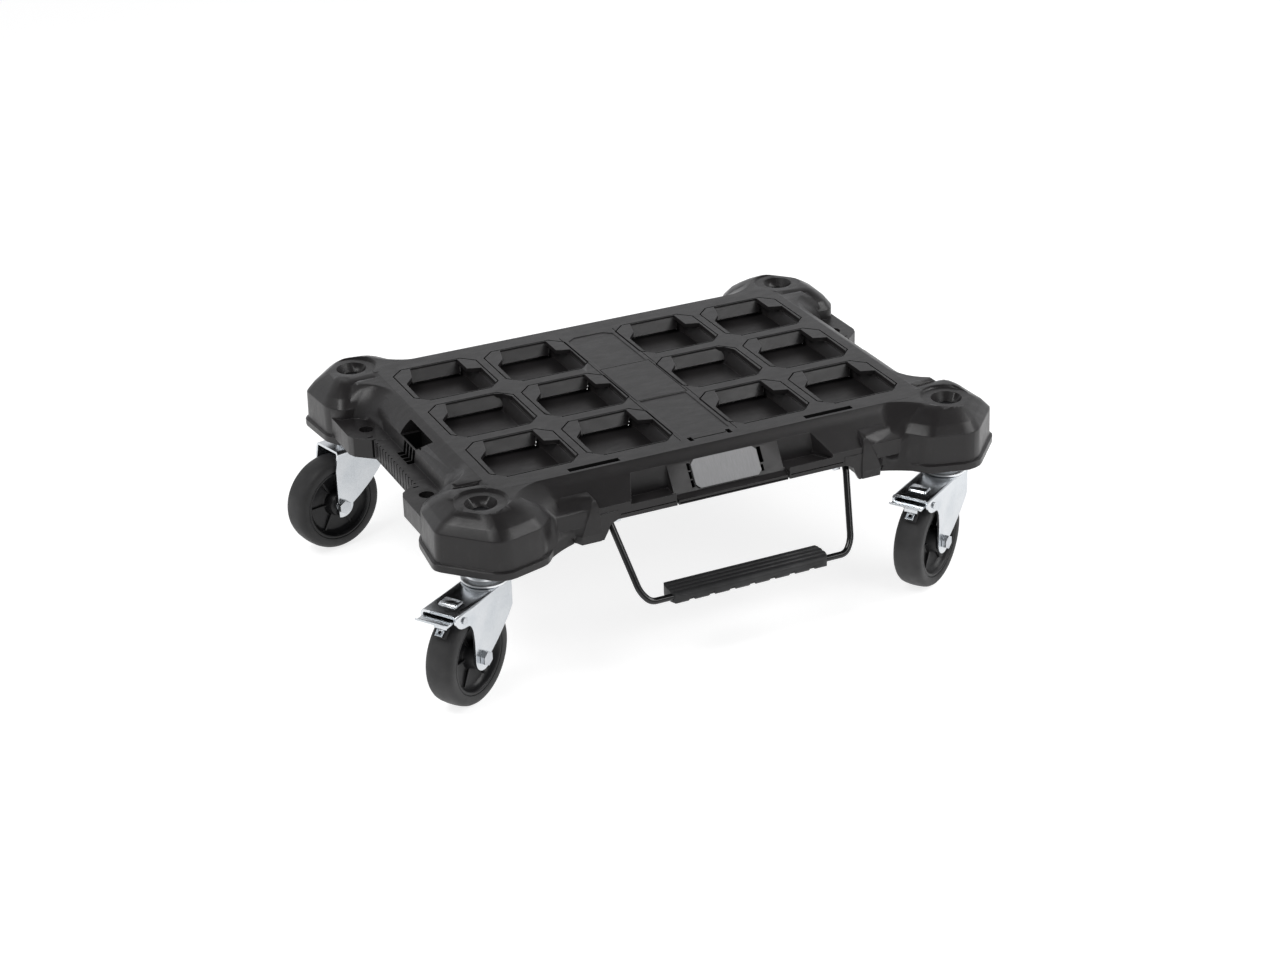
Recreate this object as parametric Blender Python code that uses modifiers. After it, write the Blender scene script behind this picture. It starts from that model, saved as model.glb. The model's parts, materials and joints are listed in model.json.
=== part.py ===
"""Flat four-caster transport trolley for stackable tool boxes.

A moulded deck with twelve latch pockets stands on four swivel casters. The two front casters
have foot brakes, and a wire bail handle hangs from the front edge.
Every size below is in millimetres; the helper functions turn them into metres.
Deck shapes are measured from the middle of the deck's top face, caster shapes from the floor
under the swivel axis, with +X towards the trailing wheel.
"""
import math

import bmesh
import bpy
from mathutils import Matrix, Vector

# ---------------------------------------------------------------- driving dimensions
MM = 0.001
GAP = 0.3

DECK_TOP = 192.0
DECK_CENTRE = (16.55, 3.96)

GROUP_OFFSET = 125.0
PITCH_X = 100.0
PITCH_Y = 99.3
POCKET_DEPTH = 17.0
TAB_THICKNESS = 4.5

CORE_LEVELS = ((0.0, 231.0, 164.5), (-1.2, 234.5, 166.3), (-4.0, 240.0, 169.6),
               (-7.5, 244.3, 173.8), (-12.5, 248.8, 181.7), (-17.0, 251.3, 188.9),
               (-24.0, 252.6, 200.0), (-39.0, 254.5, 201.0))
CORE_CHAMFER = 18.0
FLOOR_OF_POCKETS = -20.5
FRONT_WALL = 196.5

CASTER_X = 249.0
CASTER_Y = 177.0
FLANGE_BOTTOM = -58.0
TOWER_CORNERS = ((-49.5, -7), (-8, -50.5), (5, -54), (44, -43), (61, -22), (61, 34),
                 (30, 58), (-34, 62), (-45, 44))
TOWER_LEVELS = ((-54, 0), (-20.5, -0.8), (-19.3, -1.7), (-12.2, -8.6), (-11, -10.4), (-6.8, -17),
                (-2.6, -25), (-0.3, -33))
FLANGE_LEVELS = ((FLANGE_BOTTOM, 1.5), (-57, 3.0), (-50.5, 3.0), (-49, 0.4))
TOWER_ROUNDING = 6.0
CUP_RADIUS = 17.5
CUP_DEPTH = 12.0
CUP_RING = 24.5
BOLT_SEAT_RADIUS = 10.8
BOLT_SEAT_DEPTH = 18.0
PANEL_HALF = 60.5
LABEL_HALF = (35.0, 14.2)
LEDGE_REACH = 270
PLATFORM = ((238, 50), (268, 53), (287, 70), (290, 78), (290, 130), (238, 130))
STRAP_HOLE = (268.0, 84.0)
STRAP_HOLE_RADIUS = 7.5
GRILLE_ROWS = (-9.5, -1.5, 6.5, 14.5)
GRILLE_SLOT = 5.8

WHEEL_RADIUS = 50.0
WHEEL_WIDTH = 30.0
TRAIL = 36.0
FORK_TOP = 111.5
SHEET = 2.5
CHEEK = 19.5
KING_BOLT_RADIUS = 5.0
AXLE_RADIUS = 4.0
PEDAL_PIVOT = (64.0, 102.5)
BRAKE_ANGLE = 47.0
BRAKE_CLEARANCE = 2.5
BALL_COUNT = 6
WHEEL_STEPS = 24
RACE_TOP = 133.7
TYRE_BORE = 38.5
PEDAL_HALF_WIDTH = 16.3

PIVOT_Y = -184.0
PIVOT_Z = -41.0
WIRE_RADIUS = 3.3
GRIP_HALF_LENGTH = 84.0
GRIP_BAR = (0.0, -232.0, -116.5)
GRIP_MIDDLE = (0.0, -224.0, -116.5)
BRACKET_FACE = -33.0
BRACKET_SCREW_X = 106.0
BRACKET_SCREW_Y = -184.0

# corner name: (x sign, y sign, direction of the trailing wheel in degrees, has a brake)
CASTERS = {
    "front_left": (-1, -1, 214.0, True),
    "front_right": (1, -1, 213.0, True),
    "rear_left": (-1, 1, 195.0, False),
    "rear_right": (1, 1, 200.0, False),
}

MATERIALS = {
    "deck_plastic": ((0.060, 0.056, 0.057), 0.55, 0.0),
    "label_plastic": ((0.42, 0.42, 0.42), 0.5, 0.0),
    "zinc_steel": ((0.70, 0.72, 0.74), 0.32, 1.0),
    "bolt_steel": ((0.62, 0.64, 0.66), 0.35, 1.0),
    "tyre_rubber": ((0.050, 0.050, 0.052), 0.7, 0.0),
    "hub_plastic": ((0.018, 0.018, 0.020), 0.45, 0.0),
    "wire_black": ((0.012, 0.012, 0.013), 0.25, 0.3),
    "grip_rubber": ((0.022, 0.022, 0.023), 0.6, 0.0),
}


# ---------------------------------------------------------------- scene helpers
for old in list(bpy.data.objects):
    bpy.data.objects.remove(old, do_unlink=True)

PARTS = bpy.data.collections.new("tool_box_trolley")
CUTTERS = bpy.data.collections.new("cutters")
for collection in (PARTS, CUTTERS):
    bpy.context.scene.collection.children.link(collection)


def material(slot):
    """Return the Principled material of one slot, made on first use."""
    found = bpy.data.materials.get(slot)
    if found:
        return found
    colour, roughness, metallic = MATERIALS[slot]
    made = bpy.data.materials.new(slot)
    made.use_nodes = True
    shader = made.node_tree.nodes["Principled BSDF"]
    shader.inputs["Base Color"].default_value = (*colour, 1.0)
    shader.inputs["Roughness"].default_value = roughness
    shader.inputs["Metallic"].default_value = metallic
    made.diffuse_color = (*colour, 1.0)
    return made


def add_object(name, data, location=(0, 0, 0), parent=None):
    """Link an object to the cutters collection, where it stays until it is named a part."""
    made = bpy.data.objects.new(name, data)
    made.location = Vector(location) * MM
    made.parent = parent
    made.hide_render = True
    made.display_type = "WIRE"
    CUTTERS.objects.link(made)
    return made


def as_part(obj, slot, smooth=True):
    """Turn a helper shape into a finished piece of the trolley."""
    CUTTERS.objects.unlink(obj)
    PARTS.objects.link(obj)
    obj.hide_render = False
    obj.display_type = "TEXTURED"
    obj.data.materials.clear()
    obj.data.materials.append(material(slot))
    if smooth and obj.type == "MESH":
        obj.data.shade_smooth()
        obj.data.set_sharp_from_angle(angle=math.radians(35))
    return obj


def mesh_of(name, bm):
    """Store a bmesh drawn in millimetres as a mesh in metres."""
    bmesh.ops.scale(bm, vec=(MM, MM, MM), verts=bm.verts)
    bmesh.ops.recalc_face_normals(bm, faces=bm.faces)
    mesh = bpy.data.meshes.new(name)
    bm.to_mesh(mesh)
    bm.free()
    return mesh


def add_loft(bm, sections):
    """Add one closed body through level outlines, each (z, [(x, y), ...]) with equal counts."""
    rings = [[bm.verts.new((x, y, z)) for x, y in outline] for z, outline in sections]
    count = len(rings[0])
    for lower, upper in zip(rings, rings[1:]):
        for i in range(count):
            j = (i + 1) % count
            bm.faces.new((lower[i], lower[j], upper[j], upper[i]))
    bm.faces.new(rings[0])
    bm.faces.new(rings[-1])


def add_box(bm, low, high):
    """Add one box between two corners."""
    made = bmesh.ops.create_cube(bm, size=1.0)["verts"]
    size = [h - l for l, h in zip(low, high)]
    middle = [(h + l) / 2 for l, h in zip(low, high)]
    bmesh.ops.scale(bm, vec=size, verts=made)
    bmesh.ops.translate(bm, vec=middle, verts=made)


def add_drum(bm, centre, radius, z0, z1, sides=24, top_radius=None):
    """Add one upright cylinder or cone."""
    end = radius if top_radius is None else top_radius
    made = bmesh.ops.create_cone(bm, cap_ends=True, segments=sides, radius1=radius,
                                 radius2=end, depth=z1 - z0)["verts"]
    bmesh.ops.translate(bm, vec=(centre[0], centre[1], (z0 + z1) / 2), verts=made)


def loft(name, sections, **place):
    bm = bmesh.new()
    add_loft(bm, sections)
    return add_object(name, mesh_of(name, bm), **place)


def box(name, low, high, **place):
    bm = bmesh.new()
    add_box(bm, low, high)
    return add_object(name, mesh_of(name, bm), **place)


def drum(name, centre, radius, z0, z1, sides=24, **place):
    bm = bmesh.new()
    add_drum(bm, centre, radius, z0, z1, sides)
    return add_object(name, mesh_of(name, bm), **place)


def turned(name, profile, steps=18, **place):
    """Turn a closed (radius, height) profile round Z; it runs down its outer side."""
    mesh = bpy.data.meshes.new(name)
    points = [(r * MM, 0.0, z * MM) for r, z in profile]
    closed = all(r > 0 for r, _ in profile)
    last = len(points) if closed else len(points) - 1
    mesh.from_pydata(points, [(i, (i + 1) % len(points)) for i in range(last)], [])
    made = add_object(name, mesh, **place)
    screw = made.modifiers.new("turn", "SCREW")
    screw.steps = steps
    screw.render_steps = steps
    screw.use_merge_vertices = True
    screw.merge_threshold = 0.00001
    return made


def side_plate(name, outline, half_width, **place):
    """Extrude an (x, z) outline along Y to both sides."""
    bm = bmesh.new()
    faces = []
    for y in (-half_width, half_width):
        faces.append([bm.verts.new((x, y, z)) for x, z in outline])
    count = len(outline)
    for i in range(count):
        j = (i + 1) % count
        bm.faces.new((faces[0][i], faces[0][j], faces[1][j], faces[1][i]))
    bm.faces.new(faces[0])
    bm.faces.new(faces[1])
    return add_object(name, mesh_of(name, bm), **place)


def add_front_prism(bm, outline, x0, x1):
    """Add a closed body with a (y, z) outline that runs along X."""
    ends = [[bm.verts.new((x, y, z)) for y, z in outline] for x in (x0, x1)]
    count = len(outline)
    for i in range(count):
        j = (i + 1) % count
        bm.faces.new((ends[0][i], ends[0][j], ends[1][j], ends[1][i]))
    bm.faces.new(ends[0])
    bm.faces.new(ends[1])


def combine(target, other, operation):
    """Join, cut or intersect with another shape, which becomes a helper of the target."""
    step = target.modifiers.new(other.name, "BOOLEAN")
    step.operation = operation
    step.solver = "EXACT"
    step.object = other


def settle(obj):
    """Replace an object's mesh by its evaluated one, so that later steps stay quick."""
    bpy.context.view_layer.update()
    graph = bpy.context.evaluated_depsgraph_get()
    mesh = bpy.data.meshes.new_from_object(obj.evaluated_get(graph))
    used = [m.object for m in obj.modifiers if m.type == "BOOLEAN"]
    obj.modifiers.clear()
    if obj.type != "MESH":
        raise TypeError(obj.name)
    obj.data = mesh
    for helper in used:
        bpy.data.objects.remove(helper, do_unlink=True)


def curve_mesh(name, points, radius, resolution=2, **place):
    """A round wire through points, as a closed mesh with welded caps."""
    curve = bpy.data.curves.new(name, "CURVE")
    curve.dimensions = "3D"
    curve.bevel_depth = radius * MM
    curve.bevel_resolution = resolution
    curve.use_fill_caps = True
    spline = curve.splines.new("POLY")
    spline.points.add(len(points) - 1)
    for slot, point in zip(spline.points, points):
        slot.co = (*(Vector(point) * MM), 1.0)
    wire = add_object(name + "_curve", curve, **place)
    bpy.context.view_layer.update()
    graph = bpy.context.evaluated_depsgraph_get()
    mesh = bpy.data.meshes.new_from_object(wire.evaluated_get(graph))
    bm = bmesh.new()
    bm.from_mesh(mesh)
    bmesh.ops.remove_doubles(bm, verts=bm.verts, dist=0.00001)
    bmesh.ops.recalc_face_normals(bm, faces=bm.faces)
    bm.to_mesh(mesh)
    bm.free()
    made = add_object(name, mesh)
    made.matrix_world = wire.matrix_world
    bpy.data.objects.remove(wire, do_unlink=True)
    return made


# ---------------------------------------------------------------- outlines
def cut_corner_rectangle(half_x, half_y, chamfer):
    a, b, c = half_x, half_y, chamfer
    return [(a - c, -b), (a, -b + c), (a, b - c), (a - c, b),
            (-a + c, b), (-a, b - c), (-a, -b + c), (-a + c, -b)]


def arc_between(start, bend, end, steps):
    """Points of a parabola that leaves start and reaches end, pulled towards bend."""
    start, bend, end = Vector(start), Vector(bend), Vector(end)
    points = []
    for k in range(steps + 1):
        t = k / steps
        points.append(tuple(start * (1 - t) ** 2 + bend * 2 * t * (1 - t) + end * t ** 2))
    return points


def boss_outline(sign_x, sign_y, grow):
    """Outline of a corner tower, grown outward, with rounded corners, as seen from above."""
    corners = []
    for x, y in TOWER_CORNERS:
        scale = 1 + grow / math.hypot(x, y)
        corners.append(Vector((sign_x * (CASTER_X - x * scale), sign_y * (CASTER_Y - y * scale))))
    points = []
    for i, here in enumerate(corners):
        before = corners[i - 1] - here
        after = corners[(i + 1) % len(corners)] - here
        start = here + before.normalized() * min(TOWER_ROUNDING, before.length * 0.45)
        end = here + after.normalized() * min(TOWER_ROUNDING, after.length * 0.45)
        points += arc_between(start, here, end, 2)
    return points


def smooth_path(points, bends, steps=5):
    """Straight runs joined by round bends: a bend length for each inner point."""
    path = [Vector(points[0])]
    for before, here, after, reach in zip(points, points[1:], points[2:], bends):
        here = Vector(here)
        start = here + (Vector(before) - here).normalized() * reach
        end = here + (Vector(after) - here).normalized() * reach
        for i in range(steps + 1):
            t = i / steps
            path.append(start * (1 - t) ** 2 + here * 2 * t * (1 - t) + end * t ** 2)
    path.append(Vector(points[-1]))
    return path


# ---------------------------------------------------------------- the deck
def pockets():
    """Yield the centre of each pocket and whether its back corner is plain."""
    near = GROUP_OFFSET - PITCH_X / 2
    far = GROUP_OFFSET + PITCH_X / 2
    for column, x in enumerate((-far, -near, near, far)):
        for row, y in enumerate((-PITCH_Y, 0.0, PITCH_Y)):
            yield x, y, row == 1 and column in (0, 2)


def moved(outline, x, y):
    return [(x + px, y + py) for px, py in outline]


def pocket_mouths():
    """Pocket openings in the top face, with a tab left standing over both back corners."""
    bm = bmesh.new()
    for x, y, plain in pockets():
        mouth = [(-36, -41.5), (36, -41.5), (42, -33), (43, 9), (29, 14), (29, 41.5),
                 (-23, 41.5), (-29, 20), (-40, 6), (-41, -33)]
        if plain:
            mouth[3:6] = [(43, 26), (37, 37), (29, 41.5)]
        outline = moved(mouth, x, y)
        add_loft(bm, [(-TAB_THICKNESS - 0.5, outline), (2.0, outline)])
    return add_object("pocket_mouths", mesh_of("pocket_mouths", bm))


def pocket_rooms():
    """The room below each mouth, which reaches under the tabs."""
    top = [(-36, -41), (34, -41), (41, -33), (41, 33), (33, 41), (-33, 41), (-41, 33), (-41, -33)]
    floor = [(-35, -40), (29, -40), (35, -33), (35, 33), (31, 41), (-33, 41), (-40, 33), (-40, -33)]
    bm = bmesh.new()
    for x, y, _ in pockets():
        add_loft(bm, [(-POCKET_DEPTH, moved(floor, x, y)), (-TAB_THICKNESS, moved(top, x, y))])
    return add_object("pocket_rooms", mesh_of("pocket_rooms", bm))


def latch_walls():
    """The sloping plate at the back of each pocket, which a box foot slides under."""
    bm = bmesh.new()
    for x, y, plain in pockets():
        section = [(y + 42.5, -0.5), (y + 34.5, -13.0), (y + 38.5, -13.0), (y + 43.5, -5.0)]
        add_front_prism(bm, section, x - 24.0, x + (36.0 if plain else 29.5))
    return add_object("latch_walls", mesh_of("latch_walls", bm))


def drain_holes():
    """A channel from the back right corner of a pocket to the underside."""
    bm = bmesh.new()
    for x, y, plain in pockets():
        if not plain:
            add_box(bm, (x + 31, y + 40.5, -24), (x + 39, y + 57, -8))
    return add_object("drain_holes", mesh_of("drain_holes", bm))


def underside_cells():
    """Open cells under the deck, separated by low ribs."""
    bm = bmesh.new()
    for x0, x1 in ((-228, -127), (-123, -27), (-23, 23), (27, 123), (127, 228)):
        for y0, y1 in ((-162, -101.5), (-97.5, -2), (2, 97.5), (101.5, 162)):
            add_box(bm, (x0, y0, -62), (x1, y1, FLOOR_OF_POCKETS))
    return add_object("underside_cells", mesh_of("underside_cells", bm))


def deck_core():
    """The middle of the deck: a low block whose walls slope outwards."""
    sections = [(z, cut_corner_rectangle(x, y, CORE_CHAMFER)) for z, x, y in CORE_LEVELS]
    return loft("deck_moulding", sections, location=(*DECK_CENTRE, DECK_TOP))


def boss_towers():
    """The four corner towers over the casters, each with a base flange."""
    towers = []
    for name, (sx, sy, _, _) in CASTERS.items():
        levels = [(z, boss_outline(sx, sy, grow)) for z, grow in TOWER_LEVELS]
        towers.append(("tower_" + name, levels))
        flange = [(z, boss_outline(sx, sy, grow)) for z, grow in FLANGE_LEVELS]
        towers.append(("flange_" + name, flange))
    return [loft(name, levels) for name, levels in towers]


def hollow_blends():
    """Concave webs that carry each tower over into the side and into the front or back wall."""
    # each level: height, start on the tower, bend of the curve, end on the wall
    side_levels = ((-30.5, (278, 118), (252, 113), (253.2, 62)),
                   (-22.0, (275, 119), (251, 114), (252.1, 66)),
                   (-12.0, (270, 121), (247, 117), (248.2, 74)),
                   (-5.0, (264, 125), (240, 120), (241.2, 82)),
                   (-1.2, (259, 129), (236, 117), (234.4, 88)),
                   (-0.1, (256, 132), (235, 116), (231.2, 92)))
    wall_levels = ((-57.0, (205, 220), (186, 203), (165, 195)),
                   (-49.0, (205, 218), (187, 201), (167, 196.5)),
                   (-24.0, (206, 213), (188, 199), (172, 196.5)),
                   (-14.0, (209, 207), (192, 190), (174, 184)),
                   (-7.5, (213, 201), (196, 180), (177, 173.8)),
                   (-1.2, (219, 191), (202, 169), (182, 166.3)),
                   (-0.1, (222, 187), (204, 166), (184, 164.5)))
    blends = []
    for sx in (-1, 1):
        for sy in (-1, 1):
            levels = []
            for z, start, bend, end in side_levels:
                outline = arc_between(start, bend, end, 6) + [(225, end[1]), (225, 137),
                                                              (start[0], 137)]
                levels.append((z, [(sx * x, sy * y) for x, y in outline]))
            blends.append(loft("side_blend", levels))
            levels = []
            for z, start, bend, end in wall_levels:
                outline = arc_between(start, bend, end, 6) + [(end[0], 150), (start[0] + 12, 150),
                                                              (start[0] + 12, start[1] - 3)]
                levels.append((z, [(sx * x, sy * y) for x, y in outline]))
            blends.append(loft("wall_blend", levels))
    return blends


def edge_blocks():
    """Side ledges, strap platforms, corner skirts, legs and the webs beside them."""
    blocks = []
    for sx in (-1, 1):
        bm = bmesh.new()
        xs = sorted((sx * 240, sx * LEDGE_REACH))
        add_box(bm, (xs[0], -76, -50), (xs[1], 76, -30.4))
        blocks.append(add_object("ledge", mesh_of("ledge", bm)))
        for sy in (-1, 1):
            outline = [(sx * x, sy * y) for x, y in PLATFORM]
            blocks.append(loft("platform", [(-50.5, outline), (-30, outline)]))
            skirt = [(-50, 150, 240, 197), (-24, 150, 240, 196), (-8, 150, 236, 174.2)]
            levels = [(z, [(sx * x0, sy * 150), (sx * x1, sy * 150), (sx * x1, sy * y1),
                           (sx * x0, sy * y1)]) for z, x0, x1, y1 in skirt]
            blocks.append(loft("skirt", levels))
            blocks.append(add_leg(sx, sy))
            arch = [(-57, 137), (-49, 132.5), (-43.5, 130.5), (-41, 127), (-38.5, 121), (-30, 121)]
            levels = [(z, [(sx * x0, sy * 197.6), (sx * 142, sy * 197.6), (sx * 142, sy * 201.2),
                           (sx * x0, sy * 201.2)]) for z, x0 in arch]
            blocks.append(loft("arch", levels))
    return blocks


def add_leg(sx, sy):
    """A curved bracket under the front or back wall, with a ridge running down its face."""
    # each level: height, inner end, ridge, outer end, front of the ridge, front of the outer end
    leg = ((-57, 140.0, 160.0, 165.0, 202.0, 193.0), (-48, 139.5, 160.0, 168.5, 203.5, 195.0),
           (-34, 140.0, 154.5, 173.0, 202.5, 196.0), (-22, 141.5, 149.0, 176.5, 201.0, 195.5),
           (-16, 143.0, 147.0, 177.0, 198.0, 190.0), (-13, 145.0, 147.0, 172.0, 193.0, 183.0))
    levels = []
    for z, inner, ridge, outer, front, side in leg:
        middle = ((ridge + outer) / 2, (front + side) / 2 - 1.6)
        outline = [(inner, 174), (outer, 174), (outer, side), middle, (ridge, front),
                   (inner, front)]
        levels.append((z, [(sx * x, sy * y) for x, y in outline]))
    return loft("leg", levels)


def boss_hollows():
    """The open underside of each tower, round the post that the king bolt passes through."""
    hollows = []
    for name, (sx, sy, _, _) in CASTERS.items():
        hollow = loft("hollow_" + name, [(-62, boss_outline(sx, sy, -4.5)),
                                         (-24, boss_outline(sx, sy, -10))])
        post = drum("post", (sx * CASTER_X, sy * CASTER_Y), 22.5, -64, -20, 16)
        combine(hollow, post, "DIFFERENCE")
        settle(hollow)
        hollows.append(hollow)
    return hollows


def deck_cutters():
    """Everything else that is cut out of the deck, as groups of separate bodies."""
    cutters = []
    bm = bmesh.new()
    add_box(bm, (-228, -162, -63), (228, 162, -27))
    cutters.append(("cavity", bm))

    bm = bmesh.new()
    add_box(bm, (-137, 160, -61), (137, FRONT_WALL, -33))
    add_box(bm, (-137, -FRONT_WALL, -61), (-61, -160, BRACKET_FACE))
    add_box(bm, (61, -FRONT_WALL, -61), (137, -160, BRACKET_FACE))
    add_box(bm, (-60, -184, -61), (60, -160, -37))
    for sy in (-1, 1):
        for sx in (-1, 1):
            xs = sorted((sx * 168, sx * 205))
            ys = sorted((sy * 160, sy * 192.4))
            add_box(bm, (xs[0], ys[0], -61), (xs[1], ys[1], -34))
    for sx in (-1, 1):
        xs = sorted((sx * 226, sx * 264))
        add_box(bm, (xs[0], -70, -61), (xs[1], 70, -37))
    cutters.append(("edge_cavities", bm))

    bm = bmesh.new()
    for sx in (-1, 1):
        low = [(sx * 229, -13), (sx * 262, -13), (sx * 262, 30), (sx * 229, 30)]
        top = [(sx * 229, -31), (sx * 262, -31), (sx * 262, 30), (sx * 229, 30)]
        add_loft(bm, [(-17.0, low), (-3.5, top)])
    cutters.append(("side_windows", bm))

    bm = bmesh.new()
    for sx in (-1, 1):
        for y in GRILLE_ROWS:
            xs = sorted((sx * 247, sx * 259))
            add_box(bm, (xs[0], y - GRILLE_SLOT / 2, -34.4), (xs[1], y + GRILLE_SLOT / 2, -18.9))
    cutters.append(("side_grilles", bm))

    bm = bmesh.new()
    for sx in (-1, 1):
        xs = sorted((sx * 231, sx * 249.5))
        add_box(bm, (xs[0], -22, -33.5), (xs[1], 26, -12))
    cutters.append(("window_wells", bm))

    bm = bmesh.new()
    panel = [(-174.8, -7.5), (-215, -7.5), (-215, -34.5), (-197.5, -34.5), (-191.5, -33)]
    add_front_prism(bm, panel, -PANEL_HALF, PANEL_HALF)
    cutters.append(("front_panel", bm))

    bm = bmesh.new()
    for sx in (-1, 1):
        low = [(59, -177.5), (59, -198.3), (111, -198.3), (97, -177.5)]
        add_loft(bm, [(-31, [(sx * x, y) for x, y in low]),
                      (-27, [(sx * x, y) for x, y in low])])
    cutters.append(("recess_floors", bm))

    bm = bmesh.new()
    for sx in (-1, 1):
        low = [(59, -177.5), (59, -214), (114, -214), (98, -177.5)]
        top = [(59, -174), (59, -214), (106, -214), (96, -174)]
        add_loft(bm, [(-27.3, [(sx * x, y) for x, y in low]), (-4, [(sx * x, y) for x, y in top])])
        xs = sorted((sx * 100, sx * 152))
        add_box(bm, (xs[0], -158.2, -11), (xs[1], -154.4, 2))
        xs = sorted((sx * 18.5, sx * 22.5))
        add_box(bm, (xs[0], -154, -7), (xs[1], -146, 2))
        xs = sorted((sx * 58.4, sx * 60.2))
        add_box(bm, (xs[0], -204, -42), (xs[1], -196.2, -28))
    cutters.append(("hand_recesses", bm))

    bm = bmesh.new()
    for sx, sy, _, _ in CASTERS.values():
        x, y = sx * CASTER_X, sy * CASTER_Y
        add_drum(bm, (x, y), 11.0, -CUP_DEPTH, 1.0, 24, top_radius=CUP_RADIUS)
    cutters.append(("cups", bm))

    bm = bmesh.new()
    for sx, sy, _, _ in CASTERS.values():
        x, y = sx * CASTER_X, sy * CASTER_Y
        add_drum(bm, (x, y), CUP_RING, -2.8, 1.0, 36, top_radius=CUP_RING + 3.0)
    cutters.append(("cup_rings", bm))

    bm = bmesh.new()
    for sx, sy, _, _ in CASTERS.values():
        x, y = sx * CASTER_X, sy * CASTER_Y
        add_drum(bm, (x, y), BOLT_SEAT_RADIUS, -BOLT_SEAT_DEPTH, 0.5 - CUP_DEPTH, 16)
    cutters.append(("bolt_seats", bm))

    bm = bmesh.new()
    for sx, sy, _, _ in CASTERS.values():
        x, y = sx * CASTER_X, sy * CASTER_Y
        add_drum(bm, (x, y), KING_BOLT_RADIUS + GAP, -63.0, -10.0, 12)
        add_drum(bm, (sx * STRAP_HOLE[0], sy * STRAP_HOLE[1]), STRAP_HOLE_RADIUS, -62.0, -20.0, 16)
    for sx in (-1, 1):
        add_drum(bm, (sx * BRACKET_SCREW_X, BRACKET_SCREW_Y), 2.2, -36.0, -22.0, 8)
    cutters.append(("bores", bm))
    return [add_object(name, mesh_of(name, made)) for name, made in cutters]


def build_deck():
    deck = deck_core()
    for shape in boss_towers() + hollow_blends() + edge_blocks():
        shape.parent = deck
        combine(deck, shape, "UNION")
    for shape in boss_hollows() + deck_cutters():
        shape.parent = deck
        combine(deck, shape, "DIFFERENCE")
    for shape in (underside_cells(), pocket_mouths(), pocket_rooms()):
        shape.parent = deck
        combine(deck, shape, "DIFFERENCE")
    walls = latch_walls()
    walls.parent = deck
    combine(deck, walls, "UNION")
    drains = drain_holes()
    drains.parent = deck
    combine(deck, drains, "DIFFERENCE")
    return as_part(deck, "deck_plastic")


def build_label():
    """A blank plate with cut corners on the sloping front panel."""
    low = Vector((0, -191.5, -33.0))
    high = Vector((0, -174.8, -7.5))
    middle = (low + high) / 2
    slope = (high - low).normalized()
    normal = Vector((0, -slope.z, slope.y))
    thickness = 1.6
    outline = cut_corner_rectangle(*LABEL_HALF, 4.0)
    plate = loft("label_plate", [(-thickness / 2, outline), (thickness / 2, outline)])
    offset = middle + normal * (GAP + thickness / 2)
    plate.location = Vector((offset.x + DECK_CENTRE[0], offset.y + DECK_CENTRE[1],
                             offset.z + DECK_TOP)) * MM
    plate.rotation_euler.x = math.atan2(slope.z, slope.y)
    return as_part(plate, "label_plastic", smooth=False)


# ---------------------------------------------------------------- the bail handle
def wire_route():
    """Centre line of the bail: pivot pin, arm, leg, grip bar and back again."""
    half = [GRIP_BAR, (105.0, GRIP_BAR[1], GRIP_BAR[2]),
            (113.5, -226.5, -106.5), (126.0, -194.0, -48.0), (127.0, -189.0, -42.0),
            (125.0, PIVOT_Y, PIVOT_Z), (113.0, PIVOT_Y, PIVOT_Z)]
    right = smooth_path(half, (6.0, 7.0, 2.5, 3.0, 2.0), steps=3)
    left = [Vector((-p.x, p.y, p.z)) for p in reversed(right)]
    return left + right


def deck_point(x, y, z):
    """World place, in millimetres, of a point measured from the deck's top centre."""
    return (x + DECK_CENTRE[0], y + DECK_CENTRE[1], z + DECK_TOP)


def build_handle():
    hinge = bpy.data.objects.new("handle_hinge", None)
    hinge.location = Vector(deck_point(0, PIVOT_Y, PIVOT_Z)) * MM
    PARTS.objects.link(hinge)
    origin = Vector((0, PIVOT_Y, PIVOT_Z))
    route = [p - origin for p in wire_route()]
    bpy.context.view_layer.update()
    wire = curve_mesh("handle_wire", route, WIRE_RADIUS)
    wire.parent = hinge
    as_part(wire, "wire_black")

    # the grip is a flat bar with cut edges, drilled along its length for the wire
    section = [(-16.0, -2.5), (-13.5, -5.5), (13.0, -5.5), (16.0, -3.0), (16.0, 2.5),
               (13.5, 5.5), (-13.5, 5.5), (-16.0, 3.5)]
    bm = bmesh.new()
    add_front_prism(bm, section, -GRIP_HALF_LENGTH, GRIP_HALF_LENGTH)
    grip = add_object("handle_grip", mesh_of("handle_grip", bm))
    grip.location = (Vector(GRIP_MIDDLE) - origin) * MM
    grip.parent = hinge
    bore = curve_mesh("grip_bore", [Vector((-90, GRIP_BAR[1], GRIP_BAR[2])) - origin,
                                    Vector((90, GRIP_BAR[1], GRIP_BAR[2])) - origin],
                      WIRE_RADIUS + 0.5)
    bore.parent = hinge
    combine(grip, bore, "DIFFERENCE")
    as_part(grip, "grip_rubber")


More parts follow.
